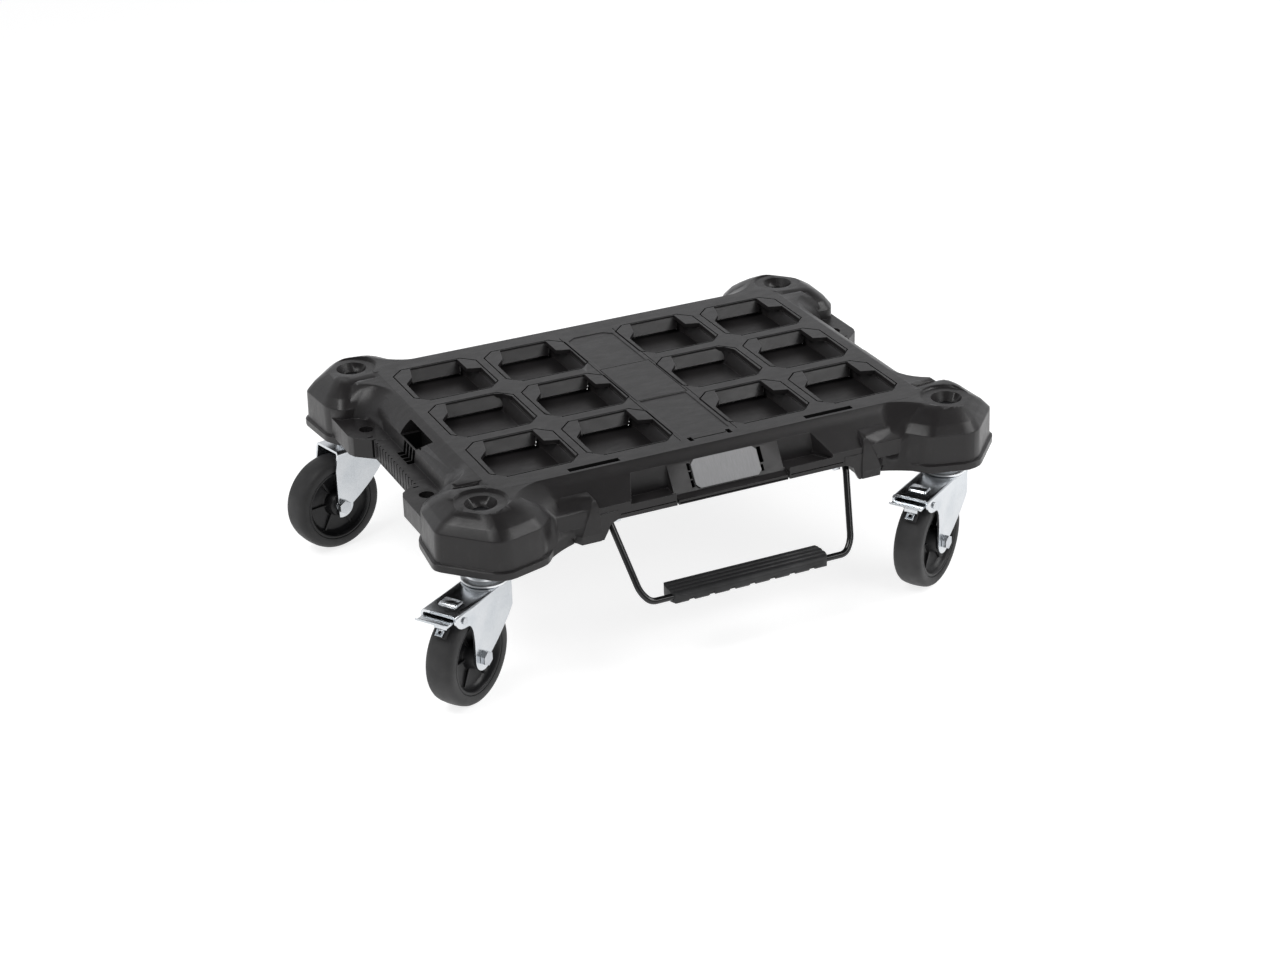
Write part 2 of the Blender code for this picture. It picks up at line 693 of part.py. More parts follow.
def build_handle_brackets():
    for side, sx in (("left", -1), ("right", 1)):
        bm = bmesh.new()
        xs = sorted((sx * 99, sx * 121.5))
        add_box(bm, (xs[0], -193, -36.5), (xs[1], -172, -33 - GAP))
        base = add_object("handle_bracket_" + side, mesh_of("bracket", bm))
        base.location = Vector(deck_point(0, 0, 0)) * MM
        xs = sorted((sx * 114.5, sx * 121.5))
        lug = box("lug", (xs[0], -190.5, -47), (xs[1], -177.5, -35))
        pin_hole = curve_mesh("pin_hole", [(xs[0] - 3, PIVOT_Y, PIVOT_Z),
                                           (xs[1] + 3, PIVOT_Y, PIVOT_Z)], WIRE_RADIUS + 0.35)
        screw_hole = drum("screw_hole", (sx * BRACKET_SCREW_X, BRACKET_SCREW_Y), 2.2, -40, -30, 8)
        for helper, operation in ((lug, "UNION"), (pin_hole, "DIFFERENCE"),
                                  (screw_hole, "DIFFERENCE")):
            helper.parent = base
            combine(base, helper, operation)
        as_part(base, "zinc_steel", smooth=False)

        centre = (sx * BRACKET_SCREW_X, BRACKET_SCREW_Y)
        bm = bmesh.new()
        add_drum(bm, centre, 1.8, -38.0, -23.0, 8)
        screw = add_object("bracket_screw_" + side, mesh_of("bracket_screw", bm))
        screw.location = Vector(deck_point(0, 0, 0)) * MM
        head = drum("screw_head", centre, 3.8, -39.5, -36.5 - GAP, 12)
        head.parent = screw
        combine(screw, head, "UNION")
        as_part(screw, "bolt_steel")


# ---------------------------------------------------------------- casters
def fork_outline(braked):
    """Side view of the fork, as (distance towards the wheel, height)."""
    if braked:
        front = [(76, FORK_TOP), (77, 106), (75.5, 101), (70, 96), (62, 94), (55, 93.5),
                 (50.5, 87), (48.5, 74)]
    else:
        front = [(37, FORK_TOP), (39.5, 98), (44, 76)]
    toe = []
    for degrees in range(10, -191, -25):
        angle = math.radians(degrees)
        toe.append((TRAIL + 12.6 * math.cos(angle), WHEEL_RADIUS + 12.6 * math.sin(angle)))
    back = [(14, 56), (0, 67), (-11, 77), (-19, 88), (-26, 100), (-27.5, FORK_TOP)]
    return front + toe[:-1] + back


def fork_plan(inset, front):
    """Plan view of the fork: round behind the king bolt, straight beside the wheel."""
    radius = 24.5 - inset
    side = CHEEK - inset
    points = []
    for degrees in range(110, 251, 20):
        angle = math.radians(degrees)
        points.append((radius * math.cos(angle), radius * math.sin(angle)))
    return points + [(14, -side), (front, -side), (front, side), (14, side)]


def build_fork(name, braked, parent):
    front = 76.0 if braked else 37.0
    fork = loft("fork_" + name, [(30, fork_plan(0, 80)), (FORK_TOP - 2, fork_plan(0, 80)),
                                 (FORK_TOP, fork_plan(1.6, front))], parent=parent)
    inside = loft("fork_inside", [(20, fork_plan(SHEET, 90)),
                                  (FORK_TOP - SHEET, fork_plan(SHEET, 90))], parent=parent)
    profile = side_plate("fork_profile", fork_outline(braked), 40, parent=parent)
    bore = drum("fork_bore", (0, 0), KING_BOLT_RADIUS + GAP, 100, 120, 12, parent=parent)
    combine(fork, inside, "DIFFERENCE")
    combine(fork, profile, "INTERSECT")
    combine(fork, bore, "DIFFERENCE")
    bm = bmesh.new()
    add_cross_drum(bm, (TRAIL, WHEEL_RADIUS), AXLE_RADIUS + GAP, -40, 40, 12)
    if braked:
        add_cross_drum(bm, PEDAL_PIVOT, 2.0 + GAP, -40, 40, 8)
    holes = add_object("cross_holes", mesh_of("cross_holes", bm), parent=parent)
    combine(fork, holes, "DIFFERENCE")
    return as_part(fork, "zinc_steel")


def add_cross_drum(bm, centre, radius, y0, y1, sides):
    """Add a cylinder that lies across the caster, along Y."""
    made = bmesh.ops.create_cone(bm, cap_ends=True, segments=sides, radius1=radius,
                                 radius2=radius, depth=y1 - y0)["verts"]
    turn = Matrix.Rotation(math.radians(90), 4, "X")
    bmesh.ops.transform(bm, matrix=turn, verts=made)
    bmesh.ops.translate(bm, vec=(centre[0], (y0 + y1) / 2, centre[1]), verts=made)


def cross_pin(name, centre, slot, parent, shank, heads=()):
    """A bolt or pin across the fork: shank and heads given as (radius, y0, y1, sides)."""
    bm = bmesh.new()
    add_cross_drum(bm, centre, *shank)
    pin = add_object(name, mesh_of(name, bm), parent=parent)
    for radius, y0, y1, sides in heads:
        bm = bmesh.new()
        add_cross_drum(bm, centre, radius, y0, y1, sides)
        cap = add_object("pin_head", mesh_of("pin_head", bm), parent=parent)
        combine(pin, cap, "UNION")
    return as_part(pin, slot)


def hexagon_bore(radius):
    """Corner radius of a six-sided bore that clears a round shank."""
    return (radius + GAP) / math.cos(math.radians(30))


def build_swivel_head(name, deck_side, fork_side):
    """King bolt, its nut and washer, and the two race plates with balls between them."""
    race_top = [(21.5, RACE_TOP), (21.5, 120.5), (18.8, 120.5), (18.8, 127.0),
                (KING_BOLT_RADIUS + GAP, 127.0), (KING_BOLT_RADIUS + GAP, RACE_TOP)]
    as_part(turned("top_race_" + name, race_top, parent=deck_side), "zinc_steel")
    race_low = [(18.2, 121.0), (18.2, 115.0), (23.0, 115.0), (23.0, FORK_TOP + GAP),
                (KING_BOLT_RADIUS + GAP, FORK_TOP + GAP), (KING_BOLT_RADIUS + GAP, 121.0)]
    as_part(turned("lower_race_" + name, race_low, parent=fork_side), "zinc_steel")

    cage = [(15.0, 124.9), (15.0, 123.1), (10.0, 123.1), (10.0, 124.9)]
    cage = turned("ball_cage_" + name, cage, 12, parent=fork_side)
    bm = bmesh.new()
    ball_radius = 2.7
    for i in range(BALL_COUNT):
        angle = 2 * math.pi * i / BALL_COUNT
        made = bmesh.ops.create_icosphere(bm, subdivisions=1, radius=ball_radius)
        bmesh.ops.translate(bm, vec=(12.5 * math.cos(angle), 12.5 * math.sin(angle), 124.0),
                            verts=made["verts"])
    balls = add_object("balls", mesh_of("balls", bm), parent=fork_side)
    combine(cage, balls, "UNION")
    as_part(cage, "bolt_steel")

    bolt = drum("king_bolt_" + name, (0, 0), KING_BOLT_RADIUS, 98.0, 181.0, 12, parent=deck_side)
    head = drum("king_head", (0, 0), 9.4, DECK_TOP - BOLT_SEAT_DEPTH + GAP, 181.5, 6, parent=deck_side)
    combine(bolt, head, "UNION")
    as_part(bolt, "bolt_steel")
    nut_low = FORK_TOP - SHEET - GAP
    bore = hexagon_bore(KING_BOLT_RADIUS)
    nut = [(9.2, nut_low), (9.2, nut_low - 8.0), (bore, nut_low - 8.0), (bore, nut_low)]
    as_part(turned("king_nut_" + name, nut, 6, parent=deck_side), "bolt_steel", smooth=False)


def build_wheel(name, fork_side, spin):
    """Tyre on a dished hub, turning on a sleeve round the axle bolt."""
    half = WHEEL_WIDTH / 2
    rim = TYRE_BORE - GAP
    tyre = [(TYRE_BORE, half - 0.6), (44.5, half), (48.6, half - 2.4), (WHEEL_RADIUS, half - 8.0),
            (WHEEL_RADIUS, 8.0 - half), (48.6, 2.4 - half), (44.5, -half),
            (TYRE_BORE, 0.6 - half)]
    hub = [(rim, half - 1.2), (rim, 1.2 - half), (34.5, 1.2 - half), (31.0, -5.5),
           (15.0, -4.0), (11.5, -15.6), (6.1, -15.6), (6.1, 15.6), (11.5, 15.6), (15.0, 4.0),
           (31.0, 5.5), (34.5, half - 1.2)]
    turn = math.radians(90)
    for piece, profile, slot in (("tyre_", tyre, "tyre_rubber"), ("hub_", hub, "hub_plastic")):
        made = turned(piece + name, profile, WHEEL_STEPS, parent=spin)
        made.rotation_euler.x = turn
        as_part(made, slot)
    sleeve = [(6.0, 16.5), (6.0, -16.5), (AXLE_RADIUS + 0.2, -16.5), (AXLE_RADIUS + 0.2, 16.5)]
    made = turned("axle_sleeve_" + name, sleeve, 12, parent=fork_side,
                  location=(TRAIL, 0, WHEEL_RADIUS))
    made.rotation_euler.x = turn
    as_part(made, "bolt_steel")

    outside = CHEEK + GAP
    centre = (TRAIL, WHEEL_RADIUS)
    cross_pin("axle_bolt_" + name, centre, "bolt_steel", fork_side,
              (AXLE_RADIUS, -outside - 8.0, outside + 1.0, 12),
              ((7.2, outside, outside + 4.8, 6),))
    bore = hexagon_bore(AXLE_RADIUS)
    nut = [(7.2, 6.0), (7.2, 0.0), (bore, 0.0), (bore, 6.0)]
    made = turned("axle_nut_" + name, nut, 6, parent=fork_side,
                  location=(TRAIL, -outside, WHEEL_RADIUS))
    made.rotation_euler.x = turn
    as_part(made, "bolt_steel", smooth=False)


def build_brake(name, fork_side, pedal_hinge):
    """Foot pedal on a cross pin, with a block that presses on the tyre."""
    px, pz = PEDAL_PIVOT
    cross_pin("pedal_pin_" + name, PEDAL_PIVOT, "bolt_steel", fork_side,
              (2.0, -CHEEK - 1.0, CHEEK + 1.0, 8),
              ((3.4, CHEEK + GAP, CHEEK + 1.6, 8), (3.4, -CHEEK - 1.6, -CHEEK - GAP, 8)))

    shift = Vector((-px, 0, -pz))
    pedal = side_plate("brake_pedal_" + name,
                       [(56, 106.8), (56, 104.8), (86, 104.0), (90.5, 107.0), (90.0, 109.0),
                        (85.5, 106.4)], PEDAL_HALF_WIDTH, location=shift, parent=pedal_hinge)
    cheeks = side_plate("pedal_cheeks",
                        [(58, 106), (59, 99.5), (64, 97.3), (69, 99.5), (71, 106)],
                        PEDAL_HALF_WIDTH, parent=pedal)
    gap = side_plate("pedal_gap", [(50, 104.9), (50, 90), (80, 90), (80, 104.4)],
                     PEDAL_HALF_WIDTH - 2.2, parent=pedal)
    arm = side_plate("pedal_arm", [(72.5, 105.5), (72.5, 95.5), (75.0, 94.2), (75.0, 105.5)], 7.0,
                     parent=pedal)
    bm = bmesh.new()
    add_cross_drum(bm, PEDAL_PIVOT, 2.0 + GAP, -30, 30, 8)
    hole = add_object("pedal_hole", mesh_of("pedal_hole", bm), parent=pedal)
    combine(cheeks, gap, "DIFFERENCE")
    combine(pedal, cheeks, "UNION")
    combine(pedal, arm, "UNION")
    combine(pedal, hole, "DIFFERENCE")
    as_part(pedal, "zinc_steel")

    # block and nut sit square to the tyre, whose centre is the axle
    lean = math.radians(90 - BRAKE_ANGLE)
    away = Vector((math.cos(math.radians(BRAKE_ANGLE)), 0, math.sin(math.radians(BRAKE_ANGLE))))
    foot = Vector((TRAIL, 0, WHEEL_RADIUS)) + away * (WHEEL_RADIUS + BRAKE_CLEARANCE)
    block = box("brake_block_" + name, (-5.5, -6.5, 0), (5.5, 6.5, 4.0),
                location=foot + shift, parent=pedal_hinge)
    block.rotation_euler.y = lean
    as_part(block, "grip_rubber", smooth=False)


def build_caster(name, sx, sy, heading, braked):
    swivel = bpy.data.objects.new("swivel_" + name, None)
    swivel.location = Vector((sx * CASTER_X + DECK_CENTRE[0], sy * CASTER_Y + DECK_CENTRE[1], 0)) * MM
    swivel.rotation_euler.z = math.radians(heading)
    spin = bpy.data.objects.new("spin_" + name, None)
    spin.location = Vector((TRAIL, 0, WHEEL_RADIUS)) * MM
    spin.parent = swivel
    for empty in (swivel, spin):
        PARTS.objects.link(empty)
    build_swivel_head(name, swivel, swivel)
    build_fork(name, braked, swivel)
    build_wheel(name, swivel, spin)
    if braked:
        hinge = bpy.data.objects.new("pedal_hinge_" + name, None)
        hinge.location = Vector((PEDAL_PIVOT[0], 0, PEDAL_PIVOT[1])) * MM
        hinge.parent = swivel
        PARTS.objects.link(hinge)
        build_brake(name, swivel, hinge)


build_deck()
build_label()
build_handle()
build_handle_brackets()
for corner, (sign_x, sign_y, direction, has_brake) in CASTERS.items():
    build_caster(corner, sign_x, sign_y, direction, has_brake)
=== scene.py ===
"""Looks of the tool box trolley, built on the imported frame.

Details of the deck and the bail wire are in millimetres from the middle of the deck's top face.
The grip is drawn about its own middle. Casters are in millimetres from the floor under the swivel
axis, with +X towards the trailing wheel.
"""
import json
import math

import bmesh
import bpy
from mathutils import Matrix, Vector


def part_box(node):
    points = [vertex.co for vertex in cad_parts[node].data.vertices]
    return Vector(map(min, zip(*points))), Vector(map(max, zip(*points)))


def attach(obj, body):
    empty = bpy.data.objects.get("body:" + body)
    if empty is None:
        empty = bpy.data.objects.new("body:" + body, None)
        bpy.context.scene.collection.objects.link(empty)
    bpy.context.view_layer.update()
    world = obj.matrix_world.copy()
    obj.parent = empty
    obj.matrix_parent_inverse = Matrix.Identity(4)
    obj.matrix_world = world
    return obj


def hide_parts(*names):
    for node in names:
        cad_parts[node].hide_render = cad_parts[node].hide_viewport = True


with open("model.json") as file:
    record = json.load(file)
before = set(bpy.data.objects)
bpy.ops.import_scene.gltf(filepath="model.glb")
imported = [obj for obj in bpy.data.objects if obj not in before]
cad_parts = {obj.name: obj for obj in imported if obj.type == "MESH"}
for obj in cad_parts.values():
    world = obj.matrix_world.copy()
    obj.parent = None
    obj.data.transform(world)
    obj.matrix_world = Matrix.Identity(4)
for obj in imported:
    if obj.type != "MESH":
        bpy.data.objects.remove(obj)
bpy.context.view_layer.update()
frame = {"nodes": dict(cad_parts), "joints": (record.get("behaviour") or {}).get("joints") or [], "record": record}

MM = 0.001
NODES = frame["nodes"]
JOINTS = {joint["name"]: joint for joint in frame["joints"]}
TOP = Vector(frame["record"]["mounts"][0]["pos_m"])
SCENE = bpy.context.scene

# sizes shared with the CAD, in millimetres
GROUP_OFFSET = 125.0
PITCH_X = 100.0
PITCH_Y = 99.3
TRAIL = 36.0
WHEEL_RADIUS = 50.0
FORK_TOP = 111.5
SHEET = 2.5
CHEEK = 19.5
SLOPE_RISE = 25.5
SLOPE_RUN = 16.7
LABEL_PLACE = (0.0, -183.15, -20.25)

# sizes of the cuts made for the looks, in millimetres; a cutter stands PROUD of the face it cuts
PROUD = 3.0
POCKET_LINE_DEPTH = 1.3
STRIP_DEPTH = 0.7
GRILLE_ROWS = (-9.5, -1.5, 6.5, 14.5)
GRILLE_HALF = 3.1
RIB_COUNT = 17
RIB_PITCH = 8
RIB_START = -64
SHARPEST_BEND = 0.05
BITE_COUNT = 7
BITE_DEPTH = 5.0
SIDES = (-1, 1)

CASTERS = ("front_left", "front_right", "rear_left", "rear_right")
BRAKED = ("front_left", "front_right")


# ---------------------------------------------------------------- shader helpers
class Net:
    """A material whose node tree is wired one call at a time; its sizes are in metres."""

    def __init__(self, name):
        self.material = bpy.data.materials.new(name)
        self.material.use_nodes = True
        self.tree = self.material.node_tree
        self.shader = self.tree.nodes["Principled BSDF"]
        self.place = self.add("ShaderNodeTexCoord").outputs["Object"]

    def add(self, kind, **settings):
        """A new node with its settings."""
        node = self.tree.nodes.new(kind)
        for key, value in settings.items():
            setattr(node, key, value)
        return node

    def feed(self, socket, value):
        """Link an output, or set a plain value."""
        if isinstance(value, bpy.types.NodeSocket):
            self.tree.links.new(value, socket)
        elif isinstance(value, tuple) and socket.type == "RGBA":
            socket.default_value = (*value, 1.0)
        else:
            socket.default_value = value

    def noise(self, scale, detail=3.0, roughness=0.5, stretch=None):
        """Cloudy noise, denser along the axes whose stretch is large."""
        place = self.place
        if stretch:
            mapping = self.add("ShaderNodeMapping")
            mapping.inputs["Scale"].default_value = stretch
            self.feed(mapping.inputs["Vector"], place)
            place = mapping.outputs["Vector"]
        node = self.add("ShaderNodeTexNoise")
        self.feed(node.inputs["Vector"], place)
        node.inputs["Scale"].default_value = scale
        node.inputs["Detail"].default_value = detail
        node.inputs["Roughness"].default_value = roughness
        return node.outputs["Fac"]

    def cells(self, scale):
        """Distance to the nearest of many scattered points."""
        node = self.add("ShaderNodeTexVoronoi", feature="F1")
        self.feed(node.inputs["Vector"], self.place)
        node.inputs["Scale"].default_value = scale
        return node.outputs["Distance"]

    def times(self, a, b):
        """The product of two values."""
        node = self.add("ShaderNodeMath", operation="MULTIPLY")
        self.feed(node.inputs[0], a)
        self.feed(node.inputs[1], b)
        return node.outputs[0]

    def span(self, value, low, high, to_low=0.0, to_high=1.0):
        """Map a value from one range to another, clamped."""
        node = self.add("ShaderNodeMapRange", clamp=True)
        for key, number in (("Value", value), ("From Min", low), ("From Max", high),
                            ("To Min", to_low), ("To Max", to_high)):
            self.feed(node.inputs[key], number)
        return node.outputs["Result"]

    def mix(self, factor, a, b):
        """Colour a where the factor is 0, colour b where it is 1."""
        node = self.add("ShaderNodeMix", data_type="RGBA", blend_type="MIX")
        for index, value in ((0, factor), (6, a), (7, b)):
            self.feed(node.inputs[index], value)
        return node.outputs[2]

    def bump(self, height, distance, strength, under=None):
        """Surface relief laid over another normal."""
        node = self.add("ShaderNodeBump")
        node.inputs["Distance"].default_value = distance
        node.inputs["Strength"].default_value = strength
        self.feed(node.inputs["Height"], height)
        if under:
            self.feed(node.inputs["Normal"], under)
        return node.outputs["Normal"]

    def round_edges(self, radius):
        """(normal with rounded edges, mask that is bright along the edges, used to paint highlights there)."""
        node = self.add("ShaderNodeBevel", samples=6)
        node.inputs["Radius"].default_value = radius
        true = self.add("ShaderNodeNewGeometry").outputs["Normal"]
        dot = self.add("ShaderNodeVectorMath", operation="DOT_PRODUCT")
        self.feed(dot.inputs[0], node.outputs["Normal"])
        self.feed(dot.inputs[1], true)
        mask = self.span(dot.outputs["Value"], 0.99, 0.8)
        return node.outputs["Normal"], mask

    def finish(self, **sockets):
        """Feed the named sockets of the shader and hand over the material."""
        for key, value in sockets.items():
            self.feed(self.shader.inputs[key.replace("_", " ")], value)
        return self.material


# ---------------------------------------------------------------- materials
def make_deck_plastic():
    """Textured polypropylene: mottled dark grey with fine grain and scuffs, and a painted highlight along the
    edges.
    """
    net = Net("deck_plastic_moulded")
    cloud = net.noise(14.0, 4.0)
    scuff = net.noise(60.0, 6.0, 0.7, stretch=(1.0, 3.0, 1.0))
    grain = net.noise(2200.0, 2.0)
    colour = net.mix(net.span(cloud, 0.3, 0.7), (0.0125, 0.0115, 0.0118), (0.017, 0.0155, 0.016))
    colour = net.mix(net.span(scuff, 0.52, 0.75, 0.0, 0.4), colour, (0.030, 0.028, 0.0285))
    colour = net.mix(net.span(grain, 0.35, 0.65, 0.0, 0.3), colour, (0.008, 0.0075, 0.0078))
    rounded, painted_highlight_mask = net.round_edges(0.0006)
    # edges painted lighter, patchy with the cloud: a painted highlight
    painted_edge_highlight = net.times(painted_highlight_mask, net.span(cloud, 0.35, 0.65, 0.3, 0.7))
    colour = net.mix(painted_edge_highlight, colour, (0.075, 0.072, 0.073))
    normal = net.bump(grain, 0.00012, 0.5, under=rounded)
    normal = net.bump(cloud, 0.0010, 0.2, under=normal)
    rough = net.span(scuff, 0.35, 0.75, 0.40, 0.27)
    return net.finish(Base_Color=colour, Roughness=rough, Normal=normal, Specular_IOR_Level=0.34)


def make_painted_shade_plastic():
    """The same plastic painted near black as shade, for the walls of engraved lines, slots, windows and holes; a
    noise varies the painted shade a little.
    """
    net = Net("deck_plastic_painted_shade")
    shade_noise = net.noise(300.0, 3.0)
    colour = net.mix(net.span(shade_noise, 0.4, 0.8), (0.0025, 0.0025, 0.0025), (0.007, 0.0065, 0.0065))
    return net.finish(Base_Color=colour, Roughness=net.span(shade_noise, 0.3, 0.7, 0.6, 0.8),
                      Specular_IOR_Level=0.15)


def make_metal(name, light, dark, rough_low, rough_high):
    """Plated steel, or the same steel painted dark as shade, with faint spangle, handling marks and a painted
    highlight along the edges.
    """
    net = Net(name)
    spangle = net.cells(420.0)
    cloud = net.noise(38.0, 4.0)
    marks = net.noise(260.0, 5.0, 0.7, stretch=(1.0, 1.0, 4.0))
    colour = net.mix(net.span(cloud, 0.3, 0.7), light, dark)
    bright = tuple(min(1.0, 1.22 * v) for v in light)
    colour = net.mix(net.span(spangle, 0.2, 0.8, 0.0, 0.14), colour, bright)
    rounded, painted_highlight_mask = net.round_edges(0.0006)
    # edges painted brighter: a painted highlight
    colour = net.mix(net.times(painted_highlight_mask, 0.6), colour, bright)
    wear = net.times(marks, net.span(cloud, 0.3, 0.7))
    rough = net.span(wear, 0.15, 0.6, rough_low, rough_high)
    normal = net.bump(cloud, 0.0002, 0.12, under=rounded)
    return net.finish(Base_Color=colour, Roughness=rough, Normal=normal, Metallic=1.0)


def make_rubber(name, light, dark, rough_low, rough_high, grain_scale=1500.0):
    """Solid rubber or smooth black plastic, with a dull bloom, fine pores and a painted highlight along the edges.
    """
    net = Net(name)
    bloom = net.noise(30.0, 5.0, 0.6)
    pores = net.noise(grain_scale, 2.0)
    colour = net.mix(net.span(bloom, 0.3, 0.72), dark, light)
    colour = net.mix(net.span(pores, 0.55, 0.75, 0.0, 0.3), colour, dark)
    rounded, painted_highlight_mask = net.round_edges(0.0007)
    # edges painted lighter: a painted highlight
    colour = net.mix(net.times(painted_highlight_mask, 0.3), colour, tuple(1.8 * v for v in light))
    rough = net.span(bloom, 0.3, 0.7, rough_high, rough_low)
    normal = net.bump(pores, 0.0001, 0.35, under=rounded)
    return net.finish(Base_Color=colour, Roughness=rough, Normal=normal, Specular_IOR_Level=0.35)


def make_label():
    """Smooth light plate with faint vertical brushing."""
    net = Net("label_plate_grey")
    brush = net.noise(180.0, 4.0, 0.6, stretch=(5.0, 0.6, 0.6))
    cloud = net.noise(45.0, 3.0)
    colour = net.mix(net.span(brush, 0.3, 0.7), (0.185, 0.185, 0.19), (0.235, 0.235, 0.24))
    colour = net.mix(net.span(cloud, 0.45, 0.8, 0.0, 0.3), colour, (0.155, 0.155, 0.16))
    rounded, _ = net.round_edges(0.0005)
    normal = net.bump(brush, 0.00005, 0.3, under=rounded)
    return net.finish(Base_Color=colour, Roughness=net.span(brush, 0.3, 0.7, 0.38, 0.55),
                      Normal=normal)


def make_wire():
    """Gloss black lacquer, slightly orange-peeled."""
    net = Net("wire_gloss_black")
    peel = net.noise(700.0, 2.0)
    cloud = net.noise(50.0, 3.0)
    colour = net.mix(net.span(cloud, 0.3, 0.7), (0.003, 0.003, 0.0032), (0.006, 0.006, 0.0063))
    rough = net.span(cloud, 0.3, 0.7, 0.10, 0.18)
    return net.finish(Base_Color=colour, Roughness=rough, Normal=net.bump(peel, 0.00003, 0.3),
                      Specular_IOR_Level=0.42)


# plastic painted near black as shade, for the walls of lines, slots and holes
PAINTED_SHADE = make_painted_shade_plastic()
LOOKS = {
    "deck_plastic": make_deck_plastic(),
    "label_plastic": make_label(),
    "zinc_steel": make_metal("zinc_plated_sheet", (0.66, 0.68, 0.70), (0.56, 0.59, 0.62),
                             0.17, 0.30),
    "bolt_steel": make_metal("zinc_plated_bolt", (0.60, 0.62, 0.64), (0.48, 0.50, 0.53),
                             0.26, 0.42),
    "tyre_rubber": make_rubber("tyre_rubber_grey", (0.036, 0.0355, 0.036),
                               (0.021, 0.021, 0.0215), 0.50, 0.68),
    "hub_plastic": make_rubber("hub_plastic_black", (0.007, 0.007, 0.008),
                               (0.004, 0.004, 0.0045), 0.32, 0.48, 900.0),
    "wire_black": make_wire(),
    "grip_rubber": make_rubber("grip_rubber_black", (0.019, 0.019, 0.020),
                               (0.009, 0.009, 0.0095), 0.45, 0.62),
}
RACE_STEEL = make_metal("zinc_plated_race", (0.86, 0.88, 0.90), (0.78, 0.80, 0.82), 0.36, 0.46)
# bolt steel painted near black as shade, for the king bolts deep in the deck's cups
BOLT_STEEL_PAINTED_SHADE = make_metal("bolt_steel_painted_shade", (0.075, 0.075, 0.078), (0.045, 0.045, 0.047),
                        0.35, 0.5)


# ---------------------------------------------------------------- mesh helpers
def shade(obj, sharp):
    """Smooth shading that leaves edges above the sharp angle, in degrees, crisp."""
    obj.data.shade_smooth()
    obj.data.set_sharp_from_angle(angle=math.radians(sharp))


def shape(name, bm, sharp=35.0):
    """Store a bmesh drawn in metres as a shaded object."""
    bmesh.ops.recalc_face_normals(bm, faces=bm.faces)
    mesh = bpy.data.meshes.new(name)
    bm.to_mesh(mesh)
    bm.free()
    made = bpy.data.objects.new(name, mesh)
    SCENE.collection.objects.link(made)
    shade(made, sharp)
    return made


def apply_modifiers(obj):
    """Keep the evaluated mesh and drop the modifiers."""
    graph = bpy.context.evaluated_depsgraph_get()
    mesh = bpy.data.meshes.new_from_object(obj.evaluated_get(graph))
    obj.modifiers.clear()
    obj.data = mesh


def boolean(obj, other, operation):
    """Join, cut or intersect at once, and remove the helper."""
    step = obj.modifiers.new(operation, "BOOLEAN")
    step.operation = operation
    step.solver = "EXACT"
    step.material_mode = "TRANSFER"
    step.object = other
    bpy.context.view_layer.update()
    apply_modifiers(obj)
    bpy.data.objects.remove(other, do_unlink=True)


def soften(obj, width):
    """Round the edges of a mesh with a real bevel."""
    step = obj.modifiers.new("bevel", "BEVEL")
    step.width = width * MM
    step.segments = 2
    step.limit_method = "ANGLE"
    step.angle_limit = math.radians(35.0)
    step.harden_normals = False
    bpy.context.view_layer.update()
    apply_modifiers(obj)
    shade(obj, 50.0)


def wall(bm, one, two):
    """Join two rings with equal point counts by a band of faces."""
    for i in range(len(one)):
        j = (i + 1) % len(one)
        bm.faces.new((one[i], one[j], two[j], two[i]))


def prism(points, low, high, axis="Z"):
    """A closed bmesh body: a flat outline in millimetres, pushed along one axis."""
    order = {"X": (2, 0, 1), "Y": (0, 2, 1), "Z": (0, 1, 2)}[axis]
    bm = bmesh.new()
    ends = []
    for level in (low, high):
        corners = [(a, b, level) for a, b in points]
        ends.append([bm.verts.new([corner[i] * MM for i in order]) for corner in corners])
    wall(bm, ends[0], ends[1])
    bm.faces.new(ends[0])
    bm.faces.new(ends[1])
    return bm


def stack(levels):
    """A closed bmesh body through level outlines, each (z, [(x, y), ...])."""
    bm = bmesh.new()
    rings = [[bm.verts.new((x * MM, y * MM, z * MM)) for x, y in outline] for z, outline in levels]
    for lower, upper in zip(rings, rings[1:]):
        wall(bm, lower, upper)
    bm.faces.new(rings[0])
    bm.faces.new(rings[-1])
    return bm


def bend(start, corner, end, steps):
    """Points of a round bend from start to end that leans towards the corner."""
    points = []
    for k in range(steps + 1):
        t = k / steps
        points.append(start * (1 - t) ** 2 + corner * 2 * t * (1 - t) + end * t ** 2)
    return points


def rounded(points, radius, steps=4):
    """Replace the corners of a closed outline by arcs; radius is a number or one per corner."""
    radii = radius if isinstance(radius, (list, tuple)) else [radius] * len(points)
    result = []
    for i, here in enumerate(points):
        here = Vector(here)
        before = Vector(points[i - 1]) - here
        after = Vector(points[(i + 1) % len(points)]) - here
        reach = min(radii[i], before.length * 0.49, after.length * 0.49)
        if reach < SHARPEST_BEND:
            result.append(tuple(here))
            continue
        start = here + before.normalized() * reach
        end = here + after.normalized() * reach
        result += [tuple(point) for point in bend(start, here, end, steps)]
    return result


def rectangle(left, front, right, back):
    """The outline of a rectangle between two corners."""
    return [(left, front), (right, front), (right, back), (left, back)]


def circle(radius, x=0.0, y=0.0):
    """A round outline of 24 points about (x, y)."""
    angles = [math.radians(15 * k) for k in range(24)]
    return [(x + radius * math.cos(angle), y + radius * math.sin(angle)) for angle in angles]


def lathe(profile, steps=96):
    """Turn a closed (radius, height) profile round Z, in millimetres."""
    bm = bmesh.new()
    rings = []
    for k in range(steps):
        angle = 2 * math.pi * k / steps
        c, s = math.cos(angle), math.sin(angle)
        rings.append([bm.verts.new((r * c * MM, r * s * MM, z * MM)) for r, z in profile])
    for one, two in zip(rings, rings[1:] + rings[:1]):
        wall(bm, one, two)
    return bm


